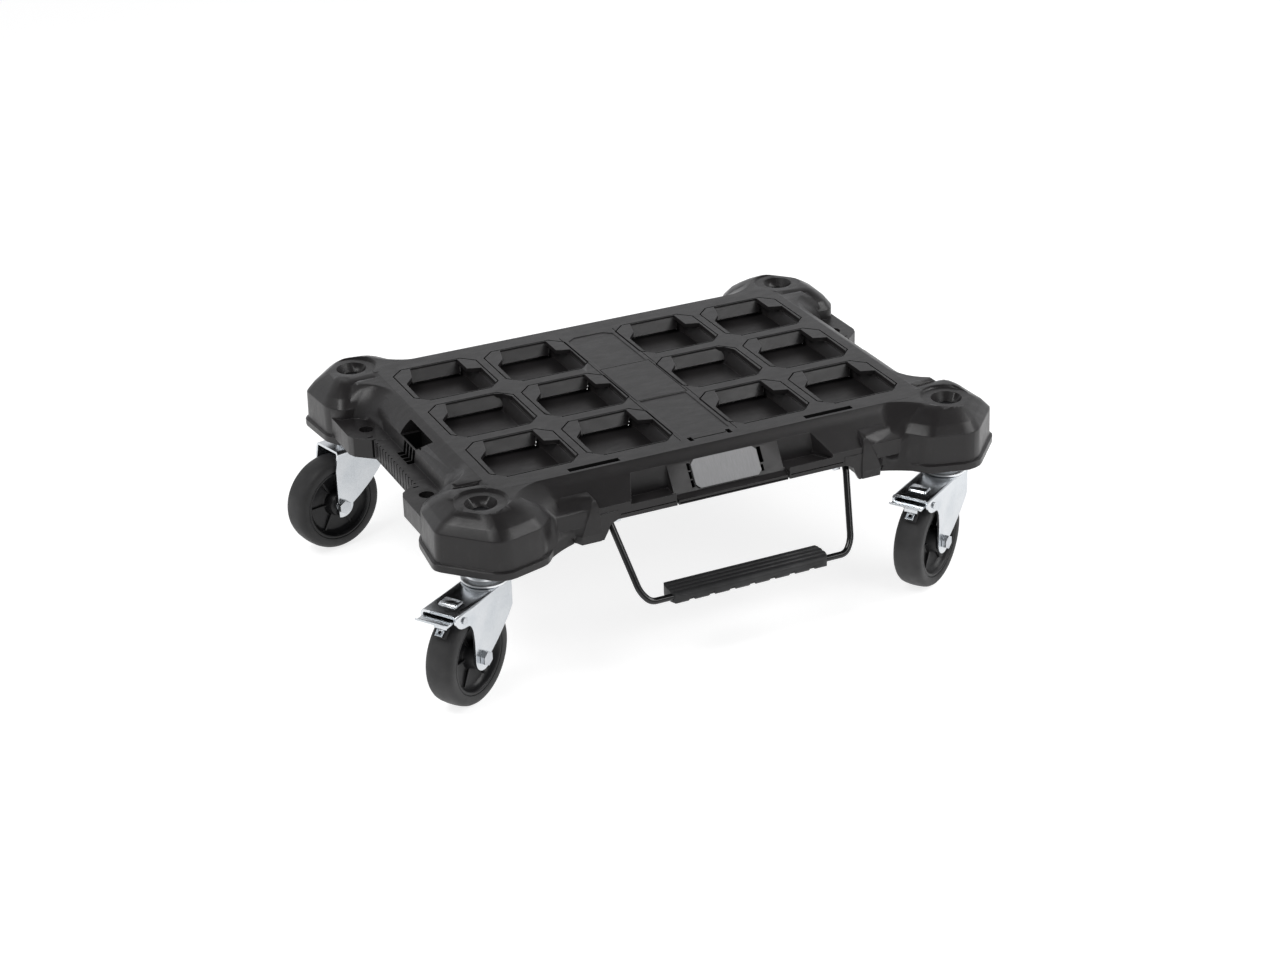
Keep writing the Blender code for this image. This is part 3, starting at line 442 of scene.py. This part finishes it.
def tube(points, radius):
    """A closed round tube through points in metres, with flat ends."""
    sides = 16
    bm = bmesh.new()
    rings = []
    side = Vector((1, 0, 0))
    for i, point in enumerate(points):
        ahead = (points[min(i + 1, len(points) - 1)] - points[max(i - 1, 0)]).normalized()
        side = side - ahead * side.dot(ahead)
        if side.length < 0.2:
            side = ahead.orthogonal()
        side = side.normalized()
        up = ahead.cross(side)
        ring = []
        for k in range(sides):
            angle = 2 * math.pi * k / sides
            outward = side * math.cos(angle) + up * math.sin(angle)
            ring.append(bm.verts.new(point + outward * radius))
        rings.append(ring)
    for one, two in zip(rings, rings[1:]):
        wall(bm, one, two)
    bm.faces.new(rings[0])
    bm.faces.new(rings[-1])
    return bm


def dress(piece, body, slot, node):
    """Give a new piece its finish and its body, and hide the CAD node it stands for."""
    piece.data.materials.clear()
    piece.data.materials.append(LOOKS[slot])
    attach(piece, body)
    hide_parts(node)


# ---------------------------------------------------------------- the deck
def octagon(x, y, half_x, half_y, cut):
    """A rectangle about (x, y) whose four corners are cut off."""
    ring = [(half_x - cut, -half_y), (half_x, cut - half_y),
            (half_x, half_y - cut), (half_x - cut, half_y),
            (cut - half_x, half_y), (-half_x, half_y - cut),
            (-half_x, cut - half_y), (cut - half_x, -half_y)]
    return [(x + px, y + py) for px, py in ring]


def pocket_centres():
    """Middles of the twelve pockets, in two groups of six."""
    near = GROUP_OFFSET - PITCH_X / 2
    far = GROUP_OFFSET + PITCH_X / 2
    return [(x, y) for x in (-far, -near, near, far) for y in (-PITCH_Y, 0.0, PITCH_Y)]


def merged(bodies, finish, place=TOP):
    """Several closed bodies as one cutter, whose finish stays on the cut faces."""
    bm = bmesh.new()
    for body in bodies:
        mesh = bpy.data.meshes.new("part")
        body.to_mesh(mesh)
        body.free()
        bm.from_mesh(mesh)
        bpy.data.meshes.remove(mesh)
    made = shape("cutter", bm)
    made.data.materials.append(finish)
    made.location = place
    bpy.context.view_layer.update()
    return made


def ring_prism(outer, inner, low, high):
    """A closed ring between two outlines with equal point counts."""
    bm = bmesh.new()
    rings = [[bm.verts.new((x * MM, y * MM, z * MM)) for x, y in outline]
             for outline, z in ((outer, low), (inner, low), (inner, high), (outer, high))]
    for one, two in zip(rings, rings[1:] + rings[:1]):
        wall(bm, one, two)
    return bm


def block(low, high, flip_x=1, flip_y=1):
    """A box between two corners, mirrored to the other side where a flip is -1."""
    left, right = sorted((flip_x * low[0], flip_x * high[0]))
    front, back = sorted((flip_y * low[1], flip_y * high[1]))
    return prism(rectangle(left, front, right, back), low[2], high[2])


def pocket_lines():
    """A thin groove round each pocket."""
    lines = []
    for x, y in pocket_centres():
        outer = octagon(x, y, 46.1, 43.5, 13.2)
        inner = octagon(x, y, 44.8, 42.2, 12.7)
        lines.append(ring_prism(outer, inner, -POCKET_LINE_DEPTH, PROUD))
    return lines


def strip_panels():
    """Two shallow panels in the strip between the two groups of pockets."""
    side = 25.5
    back = [(-side, 46), (side, 46), (side, 128), (16, 135), (-16, 135), (-side, 128)]
    front = rectangle(-side, -141, side, -46)
    return [prism(outline, -STRIP_DEPTH, PROUD) for outline in (back, front)]


def strip_lines():
    """Grooves of the strip: a square outline, two long seams and a short line in front."""
    outer = rectangle(-28, -44.9, 28, 44.9)
    inner = rectangle(-27.2, -44.1, 27.2, 44.1)
    lines = [ring_prism(outer, inner, -STRIP_DEPTH, PROUD)]
    for x in (-30.5, 30.5):
        lines.append(block((x - 0.4, -148, -0.6), (x + 0.4, 140, PROUD)))
    lines.append(block((-17.5, -151.3, -1.4), (17.5, -149.9, PROUD)))
    return lines


def pit_walls_painted_shade():
    """The walls of the two front slots and of the small pits ahead of the strip, which get painted shade, near
    black.
    """
    pits = []
    for flip in SIDES:
        pits.append(block((99.7, -161.0, -10.7), (152.3, -154.1, PROUD), flip))
        pits.append(block((18.2, -154.3, -6.7), (22.8, -145.7, PROUD), flip))
    return pits


def well_walls_painted_shade():
    """The walls of the windows in both sides of the deck, which get painted shade, near black."""
    return [block((230.7, -22.3, -33.8), (249.8, 26.3, -16.5), flip) for flip in SIDES]


def grille_walls_painted_shade():
    """The walls of the grille slots outside the side windows, which get painted shade, near black."""
    slots = []
    for flip in SIDES:
        for y in GRILLE_ROWS:
            low = (246.5, y - GRILLE_HALF, -34.7)
            high = (260.0, y + GRILLE_HALF, -18.0)
            slots.append(block(low, high, flip))
    return slots


def edge_lines():
    """Thin grooves: ribs of the side ledges and the lines along the front and back walls."""
    lines = []
    for flip in SIDES:
        for k in range(RIB_COUNT):
            y = RIB_START + RIB_PITCH * k
            lines.append(block((268.4, y - 0.8, -49.0), (274, y + 0.8, -29.0), flip))
        for flip_y in SIDES:
            lines.append(block((61.5, 199.9, -35.2), (119.0, 204.0, -34.2), flip, flip_y))
    for flip_y in SIDES:
        lines.append(block((-57.5, 199.7, -38.0), (57.5, 204.0, -36.8), 1, flip_y))
    return lines


def label_slots():
    """Slots at both short ends of the label plate, in the frame of the plate."""
    slots = [block((36.0, -3.0, -7.0), (40.2, 12.5, PROUD)),
             block((36.0, -11.5, -7.0), (38.6, -5.0, PROUD))]
    for low in (-12.0, -3.6, 4.8):
        slots.append(block((-38.9, low, -7.0), (-36.0, low + 7.0, PROUD)))
    return slots


def clean_copy(name, node):
    """A copy of a CAD node with its flat faces whole again."""
    bm = bmesh.new()
    bm.from_mesh(NODES[node].data)
    bmesh.ops.remove_doubles(bm, verts=bm.verts, dist=0.00001)
    bmesh.ops.dissolve_limit(bm, angle_limit=math.radians(0.4), verts=bm.verts, edges=bm.edges)
    return shape(name, bm)


def weigh_normals(obj, sharp):
    """Smooth shading that keeps large faces flat and edges above the sharp angle crisp."""
    shade(obj, sharp)
    step = obj.modifiers.new("weighted", "WEIGHTED_NORMAL")
    step.keep_sharp = True
    step.weight = 80
    bpy.context.view_layer.update()
    apply_modifiers(obj)


def label_slots_painted_shade():
    """The label's slots as one cutter, leaning with the front slope; their walls get painted shade, near black."""
    slots = merged(label_slots(), PAINTED_SHADE)
    lean = Matrix.Rotation(math.atan2(SLOPE_RISE, SLOPE_RUN), 4, "X")
    slots.matrix_world = Matrix.Translation(TOP + Vector(LABEL_PLACE) * MM) @ lean
    bpy.context.view_layer.update()
    return slots


def build_deck():
    """The moulding with its shallow panels, engraved lines and openings, whose walls are painted near black as
    shade.
    """
    deck = clean_copy("deck_skin", "deck_moulding")
    deck.matrix_world = NODES["deck_moulding"].matrix_world.copy()
    plain = LOOKS["deck_plastic"]
    deck.data.materials.append(plain)
    # the cut walls of lines, pits, wells and grilles get plastic painted near black as shade; the strip panels
    # keep the plain plastic
    for bodies, finish in ((pocket_lines(), PAINTED_SHADE), (strip_panels(), plain),
                           (strip_lines(), PAINTED_SHADE), (pit_walls_painted_shade(), PAINTED_SHADE),
                           (well_walls_painted_shade(), PAINTED_SHADE), (grille_walls_painted_shade(), PAINTED_SHADE),
                           (edge_lines(), PAINTED_SHADE)):
        boolean(deck, merged(bodies, finish), "DIFFERENCE")
    boolean(deck, label_slots_painted_shade(), "DIFFERENCE")
    weigh_normals(deck, 22)
    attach(deck, "deck")
    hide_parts("deck_moulding")


# ---------------------------------------------------------------- the bail handle
def smooth_route(points, bends):
    """Straight runs joined by round bends: a bend length for each inner point."""
    path = [Vector(points[0])]
    for before, here, after, reach in zip(points, points[1:], points[2:], bends):
        here = Vector(here)
        start = here + (Vector(before) - here).normalized() * reach
        end = here + (Vector(after) - here).normalized() * reach
        path += bend(start, here, end, 8)
    path.append(Vector(points[-1]))
    return path


def build_bail_wire():
    """The bent wire of the bail, from one pivot round the grip to the other."""
    bar_y, bar_z = -232.0, -116.5
    half = [(0, bar_y, bar_z), (105.0, bar_y, bar_z), (113.5, -226.5, -106.5),
            (126.0, -194.0, -48.0), (127.0, -189.0, -42.0), (125.0, -184.0, -41.0),
            (113.0, -184.0, -41.0)]
    right = smooth_route(half, (6.0, 7.0, 2.5, 3.0, 2.0))
    route = [Vector((-p.x, p.y, p.z)) for p in reversed(right)] + right[1:]
    wire = shape("bail_wire", tube([TOP + p * MM for p in route], 3.3 * MM), 60)
    dress(wire, "handle", "wire_black", "handle_wire")


def grip_section(half_y, half_z):
    """The grip seen from its end: a ribbed crown over a chamfered belly."""
    outline = [(-half_y, 3.5), (-half_y, -2.5), (2.5 - half_y, -half_z), (half_y - 3, -half_z),
               (half_y, 2.5 - half_z), (half_y, half_z - 3)]
    crown = []
    ribs = 4
    margin = 2.5
    width = 2 * half_y - 2 * margin
    for k in range(ribs):
        start = half_y - margin - k * width / ribs
        end = half_y - margin - (k + 1) * width / ribs
        crown += [(start - 0.9, half_z), (end + 0.9, half_z), (end, half_z - 1.6)]
    return rounded(outline + crown[:-1], 1.0, 2)


def carve(obj, body, place):
    """Cut a body, drawn about the origin and moved to a place, out of a piece."""
    cutter = shape("bite", body)
    cutter.location = place
    boolean(obj, cutter, "DIFFERENCE")


def build_grip():
    """The ribbed rubber grip with finger notches below and cut corners."""
    low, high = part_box("handle_grip")
    middle = (low + high) / 2
    half_x = (high.x - low.x) / 2 / MM
    half_y = (high.y - low.y) / 2 / MM
    half_z = (high.z - low.z) / 2 / MM
    body = prism(grip_section(half_y, half_z), -half_x, half_x, "X")
    grip = shape("bail_grip", body)
    grip.location = middle
    bpy.context.view_layer.update()
    for k in range(BITE_COUNT):
        x = -half_x + (k + 0.9) * 2 * half_x / (BITE_COUNT + 0.8)
        notch = [(x - 3.8, -12), (x + 3.8, -12), (x + 3.2, -0.6), (x - 3.2, -0.6)]
        carve(grip, prism(notch, -half_y - 3, -half_y + BITE_DEPTH, "Y"), middle)
    for sx, sy in ((-1, -1), (1, -1), (1, 1), (-1, 1)):
        corner = [(sx * (half_x + 3), sy * (half_y + 3)), (sx * (half_x - 9), sy * (half_y + 3)),
                  (sx * (half_x - 8), sy * half_y), (sx * (half_x - 2.5), sy * (half_y - 3.0)),
                  (sx * half_x, sy * (half_y - 9)), (sx * (half_x + 3), sy * (half_y - 9))]
        carve(grip, prism(corner, -9, 9), middle)
    soften(grip, 0.5)
    dress(grip, "handle", "grip_rubber", "handle_grip")


# ---------------------------------------------------------------- casters
def caster_frame(name):
    """Matrix from the axes a caster is drawn in to the axes of the whole trolley."""
    swivel = Vector(JOINTS["swivel_" + name]["pos_m"])
    spin = Vector(JOINTS["spin_" + name]["pos_m"])
    angle = math.atan2(spin.y - swivel.y, spin.x - swivel.x)
    return Matrix.Translation((swivel.x, swivel.y, 0)) @ Matrix.Rotation(angle, 4, "Z")


def across(obj, frame_matrix):
    """Lay a lathed piece across the caster, with its axis on the wheel axle."""
    axle = Matrix.Translation((TRAIL * MM, 0, WHEEL_RADIUS * MM))
    place = axle @ Matrix.Rotation(math.radians(90), 4, "X")
    obj.data.transform(obj.matrix_world.inverted() @ frame_matrix @ place)
    obj.matrix_world = Matrix.Identity(4)
    bpy.context.view_layer.update()


def put(obj, matrix):
    """Place an object, and let the scene know at once."""
    obj.matrix_world = matrix
    bpy.context.view_layer.update()


def build_wheel(name, matrix):
    """The tyre and the ribbed wheel centre."""
    tyre = [(38.5, 14.2), (40.0, 14.9), (44.2, 15.0), (46.0, 14.4), (47.5, 13.2), (48.8, 11.2),
            (49.5, 8.3), (50.0, 3.0), (50.0, -3.0), (49.5, -8.3), (48.8, -11.2), (47.5, -13.2),
            (46.0, -14.4), (44.2, -15.0), (40.0, -14.9), (38.5, -14.2)]
    piece = shape("tyre_tread_" + name, lathe(tyre), 50)
    across(piece, matrix)
    dress(piece, "wheel_" + name, "tyre_rubber", "tyre_" + name)
    side = [(38.2, 13.6), (37.4, 14.0), (36.0, 14.0), (35.0, 13.2), (34.2, 10.5), (31.4, 6.2),
            (30.0, 5.6), (16.5, 4.4), (14.6, 5.2), (13.4, 8.0), (12.2, 14.6), (11.4, 15.6),
            (6.1, 15.6)]
    hub = side + [(r, -z) for r, z in reversed(side)]
    piece = shape("wheel_centre_" + name, lathe(hub), 40)
    for k in range(6):
        rib = shape("rib", prism(rectangle(13.0, -1.1, 34.6, 1.1), -7.2, 7.2))
        put(rib, Matrix.Rotation(math.radians(60 * k), 4, "Z"))
        boolean(piece, rib, "UNION")
    shade(piece, 40)
    across(piece, matrix)
    dress(piece, "wheel_" + name, "hub_plastic", "hub_" + name)


def fork_outline(braked):
    """The fork seen from the side; the braked one reaches out over the pedal."""
    if braked:
        front = [(76, FORK_TOP + 2), (77, 106), (75.5, 101), (70, 96), (62, 94), (55, 93.5),
                 (50.5, 87), (48.5, 74)]
        radii = [0, 2, 3, 4, 4, 5, 6, 6]
    else:
        front = [(37, FORK_TOP + 2), (39.5, 98), (44, 76)]
        radii = [0, 6, 10]
    toe = []
    for degrees in range(10, -191, -10):
        angle = math.radians(degrees)
        toe.append((TRAIL + 12.6 * math.cos(angle), WHEEL_RADIUS + 12.6 * math.sin(angle)))
    back = [(14, 56), (0, 67), (-11, 77), (-19, 88), (-26, 100), (-27.5, FORK_TOP + 2)]
    radii += [0] * (len(toe) - 1) + [5, 6, 6, 6, 5, 0]
    return rounded(front + toe[:-1] + back, radii, 3)


def fork_plan(inset, front):
    """The fork seen from above, shrunk by the inset: round behind, open ahead."""
    radius = 24.5 - inset
    side = CHEEK - inset
    points = []
    for degrees in range(128, 233, 6):
        angle = math.radians(degrees)
        points.append((radius * math.cos(angle), radius * math.sin(angle)))
    return points + [(front, -side), (front, side)]


def build_fork(name, braked, matrix):
    """Pressed sheet fork with rolled top edges; the braked one has a raised louver on top."""
    roll = 4.0
    inner_roll = 2
    wide = 40
    front = 77.5 if braked else 41.0
    beyond = 95
    levels = [(30, fork_plan(0, front))]
    for k in range(7):
        turn = math.radians(15 * k)
        levels.append((FORK_TOP - roll + roll * math.sin(turn),
                       fork_plan(roll * (1 - math.cos(turn)), front)))
    fork = shape("fork_sheet_" + name, stack(levels))
    inner = [(20, fork_plan(SHEET, beyond))]
    for k in range(5):
        turn = math.radians(22.5 * k)
        inner.append((FORK_TOP - SHEET - inner_roll + inner_roll * math.sin(turn),
                      fork_plan(SHEET + inner_roll * (1 - math.cos(turn)), beyond)))
    boolean(fork, shape("inside", stack(inner)), "DIFFERENCE")
    profile = prism(fork_outline(braked), -wide, wide, "Y")
    boolean(fork, shape("profile", profile), "INTERSECT")
    boolean(fork, shape("bore", prism(circle(5.3), 100, 120)), "DIFFERENCE")
    axle = circle(4.3, TRAIL, WHEEL_RADIUS)
    boolean(fork, shape("axle_hole", prism(axle, -wide, wide, "Y")), "DIFFERENCE")
    if braked:
        steps = ((-1.5, rectangle(48, -10, 64, 10)), (1.6, rectangle(50, -9.5, 62, 9.5)),
                 (2.6, rectangle(51, -8.5, 60.5, 8.5)))
        louver = stack([(FORK_TOP + rise, rounded(outline, 2)) for rise, outline in steps])
        boolean(fork, shape("louver", louver), "UNION")
    shade(fork, 40)
    put(fork, matrix)
    dress(fork, "caster_" + name, "zinc_steel", "fork_" + name)


def build_swivel_head(name, matrix):
    """Dished race plates in bright steel."""
    top = [(21.5, 133.7), (21.5, 124.0), (21.2, 121.4), (20.4, 120.5), (19.2, 120.5),
           (18.8, 121.2), (18.8, 127.0), (5.3, 127.0), (5.3, 133.7)]
    low = [(18.2, 121.0), (18.2, 117.0), (19.4, 115.6), (22.2, 114.8), (23.0, 114.0),
           (23.0, 112.4), (22.4, 111.8), (5.3, 111.8), (5.3, 121.0)]
    plates = (("top_race_", top, "deck"), ("lower_race_", low, "caster_" + name))
    for part, profile, body in plates:
        piece = shape("plated_" + part + name, lathe(profile, 72), 40)
        put(piece, matrix)
        dress(piece, body, "zinc_steel", part + name)
        piece.data.materials[0] = RACE_STEEL


def build_wear_plate(name, matrix):
    """The small steel square on the brake block, with a blind hole whose walls are painted near black as shade."""
    piece = shape("wear_plate_" + name, prism(rectangle(-4.1, -4.2, 4.1, 4.2), 0.05, 0.9))
    piece.data.materials.append(LOOKS["zinc_steel"])
    # the hole's walls get plastic painted near black as shade
    hole = merged([prism(circle(1.6), 0.3, 3.0)], PAINTED_SHADE, (0, 0, 0))
    boolean(piece, hole, "DIFFERENCE")
    tilt = Matrix.Rotation(math.radians(42.8), 4, "Y")
    piece.matrix_world = matrix @ Matrix.Translation(Vector((75.3, 0.0, 90.7)) * MM) @ tilt
    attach(piece, "brake_" + name)


def build_caster(name):
    """All the finer pieces of one caster."""
    matrix = caster_frame(name)
    build_wheel(name, matrix)
    build_fork(name, name in BRAKED, matrix)
    build_swivel_head(name, matrix)
    if name in BRAKED:
        build_wear_plate(name, matrix)


# ---------------------------------------------------------------- stage, light and camera
def build_stage():
    """A pale floor that glows a little, so that it fades into the white room."""
    bm = bmesh.new()
    bmesh.ops.create_grid(bm, x_segments=1, y_segments=1, size=9.0)
    floor = shape("studio_floor", bm)
    net = Net("pale_floor")
    cloud = net.noise(1.2, 2.0)
    colour = net.mix(cloud, (0.46, 0.46, 0.46), (0.48, 0.48, 0.48))
    pale = net.finish(Base_Color=colour, Roughness=0.9, Specular_IOR_Level=0.1,
                      Emission_Strength=0.78, Emission_Color=(1.0, 1.0, 1.0))
    floor.data.materials.append(pale)


def add_light(name, place, size, power):
    """A white rectangular softbox aimed at the trolley."""
    lamp = bpy.data.lights.new(name, "AREA")
    lamp.shape = "RECTANGLE"
    lamp.size, lamp.size_y = size
    lamp.energy = power
    made = bpy.data.objects.new(name, lamp)
    made.location = place
    aim = Vector((0, 0, 0.1)) - Vector(place)
    made.rotation_euler = aim.to_track_quat("-Z", "Y").to_euler()
    SCENE.collection.objects.link(made)


def build_light():
    """A dim room, brighter low behind the trolley, with three softboxes at middle height."""
    world = bpy.data.worlds.new("studio")
    world.use_nodes = True
    tree = world.node_tree
    back = tree.nodes["Background"]
    place = tree.nodes.new("ShaderNodeTexCoord")
    split = tree.nodes.new("ShaderNodeSeparateXYZ")
    tree.links.new(place.outputs["Generated"], split.inputs[0])
    ramp = tree.nodes.new("ShaderNodeValToRGB")
    bands = ramp.color_ramp
    bands.elements[0].position = 0.05
    bands.elements[0].color = (0.85, 0.86, 0.88, 1)
    bands.elements[1].position = 1.0
    bands.elements[1].color = (0.08, 0.08, 0.08, 1)
    for place_on_ramp, level in ((0.55, 0.80), (0.72, 0.24), (0.86, 0.10)):
        bands.elements.new(place_on_ramp).color = (level, level, 1.01 * level, 1)
    tree.links.new(split.outputs["Z"], ramp.inputs["Fac"])
    tree.links.new(ramp.outputs["Color"], back.inputs["Color"])
    depth = tree.nodes.new("ShaderNodeMapRange")
    for key, number in (("From Min", -0.3), ("From Max", 0.4), ("To Min", 0.4), ("To Max", 1.0)):
        depth.inputs[key].default_value = number
    tree.links.new(split.outputs["Y"], depth.inputs["Value"])
    tree.links.new(depth.outputs["Result"], back.inputs["Strength"])
    SCENE.world = world
    add_light("left_softbox", (-1.45, -0.25, 2.15), (1.4, 0.9), 28)
    add_light("right_softbox", (1.8, -0.75, 1.8), (1.4, 0.9), 22)
    add_light("front_softbox", (1.0, -1.95, 1.5), (1.3, 0.7), 13)


def build_camera():
    """The studied view: front left, looking down at the deck."""
    camera = bpy.data.cameras.new("camera")
    camera.sensor_width = 36.0
    camera.lens = 70.6
    camera.clip_start = 0.05
    camera.clip_end = 40.0
    made = bpy.data.objects.new("camera", camera)
    made.location = TOP + Vector((-979.1, -2112.2, 1017.9)) * MM
    made.rotation_euler = [math.radians(a) for a in (64.099, 1.3847, -25.4079)]
    SCENE.collection.objects.link(made)
    SCENE.camera = made


# ---------------------------------------------------------------- build everything
SLOTS = {row["node"]: row["material_slot"] for row in frame["record"]["subparts"]}
for node_name, node in NODES.items():
    # the king bolts, deep in the deck's cups, get steel painted dark as shade
    dark = node_name.startswith("king_bolt")
    node.data.materials.clear()
    node.data.materials.append(BOLT_STEEL_PAINTED_SHADE if dark else LOOKS[SLOTS[node_name]])

build_deck()
build_bail_wire()
build_grip()
for caster in CASTERS:
    build_caster(caster)
build_stage()
build_light()
build_camera()
SCENE.view_settings.view_transform = "Standard"
